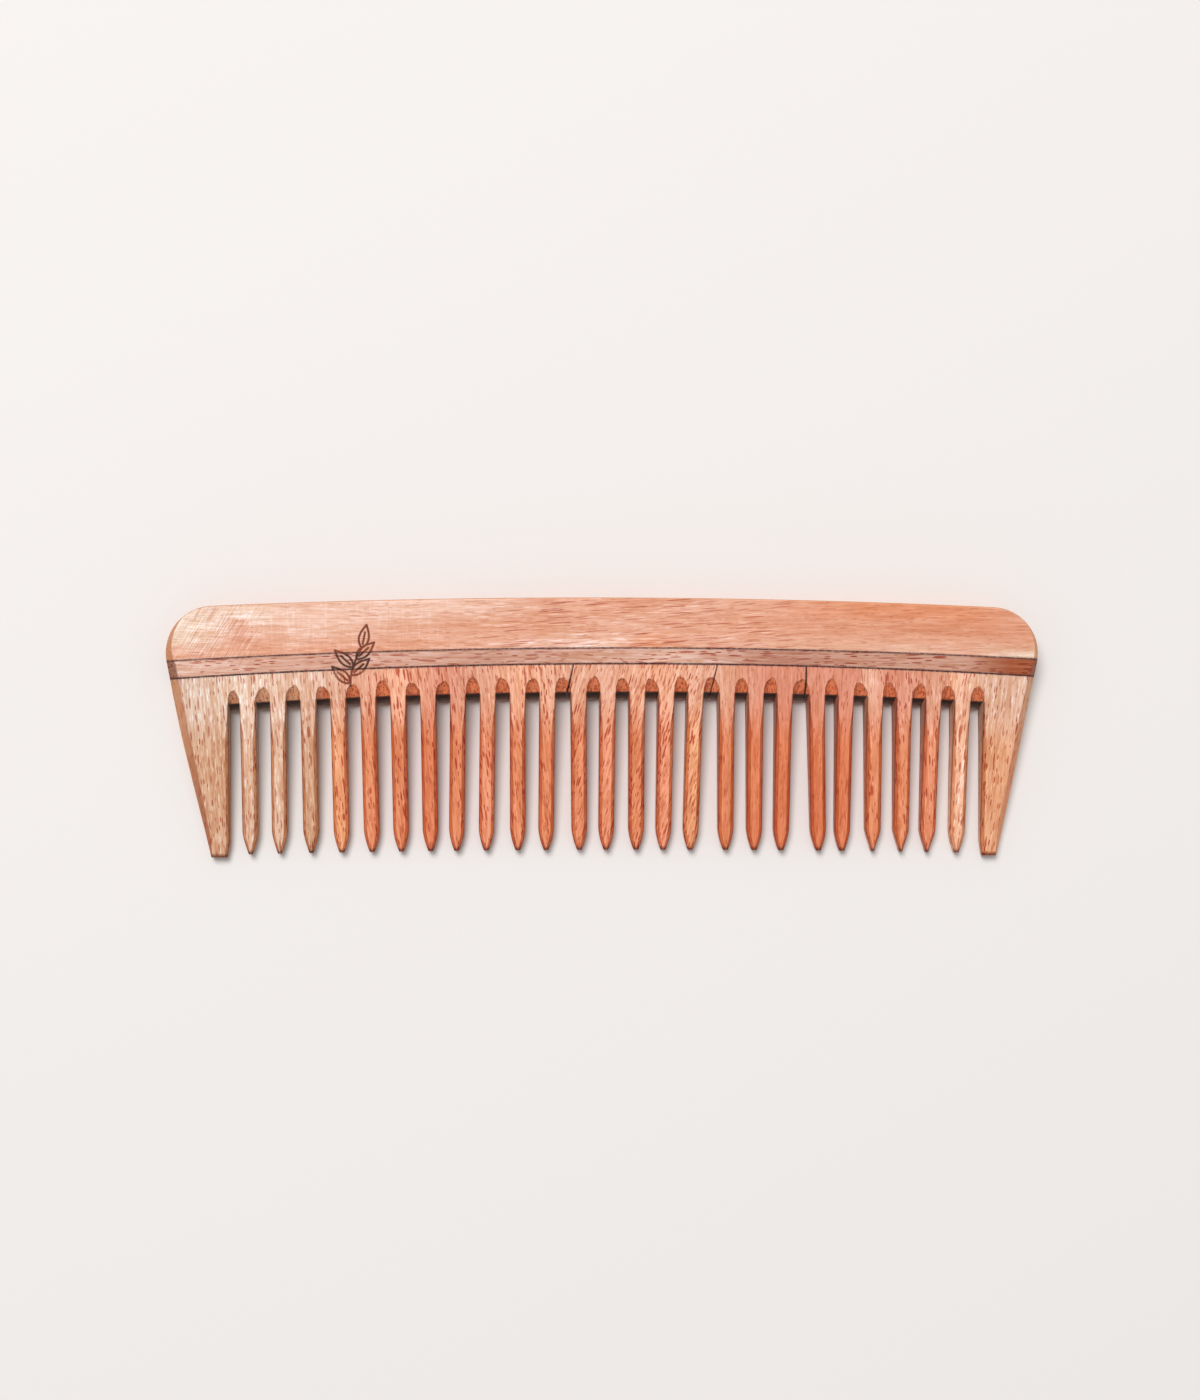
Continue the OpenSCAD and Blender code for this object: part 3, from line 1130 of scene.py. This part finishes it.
# Where each tone is along the comb. The spine has a row each for its upper, middle and lower part.
SPINE_HIGH = [(-85, CREAM), (-60, BLUSH), (-30, BLUSH), (-12, ROSE), (5, SALMON), (20, ROSE),
              (36, SALMON), (54, CORAL), (75, CORAL), (88, ROSE)]
SPINE_MIDDLE = [(-85, CREAM), (-75, ROSE), (-60, BLUSH), (-38, ROSE), (-14, SALMON), (5, ROSE),
                (28, SALMON), (64, SALMON), (88, SALMON)]
SPINE_LOW = [(-85, ROSE), (-60, SALMON), (-38, SALMON), (-18, ROSE), (0, BLUSH), (9, CORAL),
             (18, ROSE), (40, ROSE), (64, BLUSH), (75, ROSE), (88, CREAM)]
STRIP_TONES = [(-88, MAUVE), (-60, TAN), (-38, TAN), (-24, UMBER), (-4, TAN), (14, MAUVE),
               (36, COCOA), (56, UMBER), (74, UMBER), (84, CHESTNUT)]

# The board above the slots, block by block
BOARD_TONES = {
    "left_guard_block": [(-86, ASH), (-74, CHALK), (-60, SAND)],
    "tooth_block_2": [(-58, SAND), (-51, CLAY), (-42, ROSE), (-34, BRICK), (-26, CLAY), (-17, ROSE),
                      (-9, SHELL)],
    "tooth_block_3": [(-8, SHELL), (2, SHELL), (11, ROSE), (20, SHELL)],
    "tooth_block_4": [(24, SHELL), (33, BRICK), (42, BRICK)],
    "tooth_block_5": [(43, BRICK), (53, BRICK)],
    "tooth_block_6": [(54, SHELL), (60, BRICK), (68, CLAY)],
    "right_guard_block": [(71, ROSE), (80, SAND), (90, SAND)],
}

# The teeth of each block, from left to right, with the guard teeth first and last
TOOTH_TONES = {
    "left_guard_block": [FAWN, STRAW, STRAW, FAWN],
    "tooth_block_2": [AMBER, ORANGE, ORANGE, RUST, ORANGE, PEACH, ORANGE, ORANGE],
    "tooth_block_3": [ORANGE, PEACH, ORANGE, PEACH, AMBER],
    "tooth_block_4": [ORANGE, RUST, RUST],
    "tooth_block_5": [RUST, RUST],
    "tooth_block_6": [ORANGE, ORANGE, PEACH],
    "right_guard_block": [BLUSH, HONEY],
}


def spine_tone(g, x, y):
    """The three rows of tones, blended by the height above the strip."""
    blotch = g.blots(x, 0.10, y, 0.25, seed=5.0, detail=3.0, roughness=0.6)
    height = g.math("MULTIPLY_ADD", g.math("SUBTRACT", blotch, 0.5), 5.0, unbowed(g, x, y, STRIP_TOP_R))
    low, middle, high = [g.tones(x, stops) for stops in (SPINE_LOW, SPINE_MIDDLE, SPINE_HIGH)]
    lower = g.mix(g.step(height, 17.0, 21.0), low, middle)
    return g.mix(g.step(height, 21.0, 25.0), lower, high)


def within(g, value, low, high, fade):
    """1 between low and high, fading to 0 over the given distance outside them."""
    return g.times(g.step(value, low - fade, low), g.step(value, high + fade, high))


def scratches(g, look, x, y):
    """Sanding scratches that cross the left end of the spine and the strip at a slant."""
    across = g.math("MULTIPLY_ADD", y, -0.62, x)
    along = g.math("MULTIPLY_ADD", x, 0.62, y)
    lines = g.blots(across, 3.2, along, 0.13, seed=8.0, detail=1.0, roughness=0.6)
    region = g.times(within(g, x, -87.0, -74.0, 6.0), g.step(y, 10.0, 16.0))
    dark = g.times(g.step(lines, 0.58, 0.63), g.times(region, 0.35))
    pale = g.times(g.step(lines, 0.44, 0.38), g.times(region, 0.6))
    return tinted(g, pale, tinted(g, dark, look, PORE_TINT), PALE_TINT)


def spine_figure(g, look, x, y):
    """What marks the spine besides its grain: cream blotches, pale cross-grain streaks that paint the
    sheen of curly figure, scratches at the left, long dark pores in the middle and a cloudy right end."""
    blotch = g.blots(x, 0.16, y, 0.34, seed=21.0, detail=4.0, roughness=0.65)
    cream = g.times(g.step(blotch, 0.48, 0.62), g.step(x, -38.0, -52.0))
    look = tinted(g, g.times(cream, 0.40), look, PALE_TINT)

    # Painted sheen: pale streaks across the grain for the shimmer of curly figure
    upright = g.blots(x, 1.9, y, 0.16, seed=33.0, detail=2.0, roughness=0.6)
    painted_sheen = g.times(g.step(upright, 0.52, 0.66), within(g, x, -76.0, -36.0, 12.0))
    look = tinted(g, g.times(painted_sheen, 0.30), look, PALE_TINT)

    rising = Fibres(g, x, g.math("MULTIPLY_ADD", x, -0.07, y), 0.0)
    region = within(g, x, -20.0, 33.0, 14.0)
    dark_dashes = rising.dashes(8.0, 0.34, seed=13.0, size=0.38)
    pale_dashes = rising.dashes(5.0, 0.45, seed=31.0, size=0.42)
    dark_lines = g.times(dark_dashes, g.times(region, 0.75))
    pale_lines = g.times(pale_dashes, g.times(region, 0.7))
    look = tinted(g, dark_lines, tinted(g, pale_lines, look, PALE_TINT), PORE_TINT)

    height = unbowed(g, x, y, STRIP_TOP_R)
    low_part = g.times(g.step(height, 20.5, 17.5), within(g, x, -32.0, 6.0, 12.0))
    creamy = g.blots(x, 0.12, y, 1.5, seed=61.0, detail=3.0, roughness=0.6)
    cream_lines = g.times(g.step(creamy, 0.44, 0.60), g.times(low_part, 0.6))
    look = tinted(g, cream_lines, look, PALE_TINT)

    diagonal = g.math("MULTIPLY_ADD", x, -0.17, y)
    cloud = g.math("MULTIPLY_ADD", blotch, 3.0, diagonal)
    dusk = g.times(within(g, cloud, 8.5, 10.5, 2.5), g.step(x, 45.0, 62.0))
    look = tinted(g, g.times(dusk, 0.45), look, DARKER)
    return scratches(g, look, x, y)


def strip_tone(g, x, y):
    return tinted(g, 1.0, g.tones(x, STRIP_TONES), LIFT)


def block_tone(index):
    """Board tones above the slots, each tooth's own tone below them."""
    name = NAMES[index]
    places = tooth_places(name)
    if name == FIRST:
        places.insert(0, -LEFT_GUARD_X)
    if name == LAST:
        places.append(RIGHT_GUARD_X)
    stops = list(zip(places, TOOTH_TONES[name]))

    def tone(g, x, y):
        board = g.tones(x, BOARD_TONES[name])
        teeth = g.tones(x, stops)
        height = unbowed(g, x, y, ROOT_R)
        return tinted(g, 1.0, g.mix(g.step(height, -4.0, 8.5), teeth, board), LIFT)

    return tone


# Grain of each block, as settings of wood()
BLOCK_LOOKS = {
    "left_guard_block": dict(
        slant=0.05, bands=2.2, pores=0.85, pore_size=0.34, flecks=0.85,
        ramp=((-64, "F0AC7C"), (-58.5, "FA925E")), ramp_share=0.78,
        rim=((-90, "BE7C4E"), (-86.6, "C4825A"), (-84.9, "B06A42"), (-83, "A65C38"))),
    "tooth_block_2": dict(slant=0.12, bands=1.9, pores=0.95, pore_size=0.36, flecks=0.40),
    "tooth_block_3": dict(slant=-0.24, bands=1.9, pores=1.0, pore_size=0.40, flecks=0.45, fineness=1.2),
    "tooth_block_4": dict(bands=1.4, pores=0.65, pore_size=0.29, flecks=0.25),
    "tooth_block_5": dict(slant=-0.05, bands=1.5, pores=0.7, pore_size=0.30, flecks=0.20),
    "tooth_block_6": dict(slant=0.03, bands=1.9, pores=0.95, pore_size=0.34, flecks=0.65),
    "right_guard_block": dict(
        slant=-0.12, bands=1.9, pores=0.95, pore_size=0.36, flecks=0.65,
        rim=((81, "D68C62"), (85.5, "D68C68"), (88.4, "CE9870"), (90, "CCA274"))),
}


# ---- floor, lights and camera

def floor():
    mesh = bpy.data.meshes.new("floor")
    half = 4.0
    corners = [(-half, -half, 0), (half, -half, 0), (half, half, 0), (-half, half, 0)]
    mesh.from_pydata(corners, [], [(0, 1, 2, 3)])
    ground = placed("floor", mesh)
    g = Graph("floor_paint")
    g.surface(colour("F3F0EE"), roughness=0.85, specular=0.2)
    mesh.materials.append(g.material)


def aim(thing, place, target):
    """Puts a camera or light at place, facing target, with its upper side towards +Y."""
    back = (Vector(place) - Vector(target)).normalized()
    right = Vector((0, 1, 0)).cross(back).normalized()
    turned = Matrix((right, back.cross(right), back)).transposed()
    thing.matrix_world = Matrix.Translation(place) @ turned.to_4x4()


def area_light(name, place, size, power, tint):
    lamp = bpy.data.lights.new(name, "AREA")
    lamp.shape = "DISK"
    lamp.size = size
    lamp.energy = power
    lamp.color = tint
    aim(placed(name, lamp), place, (0, 0, 0))


def studio():
    world = bpy.data.worlds.new("studio")
    bpy.context.scene.world = world
    world.use_nodes = True
    background = world.node_tree.nodes["Background"]
    background.inputs["Color"].default_value = (1.0, 0.985, 0.97, 1)
    background.inputs["Strength"].default_value = 0.42
    area_light("key", place=(-0.55, 1.05, 2.1), size=1.3, power=40.6, tint=(1.0, 0.99, 0.99))
    bpy.context.scene.view_settings.view_transform = "Standard"
    bpy.context.scene.view_settings.look = "None"


# Where the camera looks, and where it stands: above the left half, so that it sees the left
# flanks of the teeth on the right half. The shift moves the comb to the middle of the frame.
TARGET = Vector((-6.7, 5.75, 0.0)) * MM
CAMERA = Vector((-24.0, 5.75, 450.0)) * MM
LENS = 55.42
SHIFT_X = 0.0205


def camera():
    data = bpy.data.cameras.new("camera")
    data.lens = LENS
    data.sensor_width = 36.0
    data.shift_x = SHIFT_X
    data.clip_start = 0.01
    holder = placed("camera", data)
    aim(holder, CAMERA, TARGET)
    bpy.context.scene.camera = holder


# ---- assembly

def main():
    spine_look = wood(
        "spine_wood", spine_tone, bands=1.0, pores=0.38, pore_size=0.30, flecks=0.25, fineness=1.3,
        rim=((-90, "C07A4C"), (90, "D49A6C")), wall=[0.78, 0.70, 0.66, 1], extra=spine_figure)
    add_piece(spine_mesh(), "spine", spine_look)
    strip_look = wood(
        "strip_wood", strip_tone, bands=1.8, pores=1.0, pore_size=0.36, burn="4A2012",
        rim=((-90, "7E4426"), (90, "9A5F47")), extra=scratches)
    add_piece(strip_mesh(), "middle_strip", strip_look)
    for index, name in enumerate(NAMES):
        look = wood(name + "_wood", block_tone(index), grain="y", **BLOCK_LOOKS[name])
        add_piece(block_mesh(index), name, look)
    floor()
    studio()
    camera()


main()
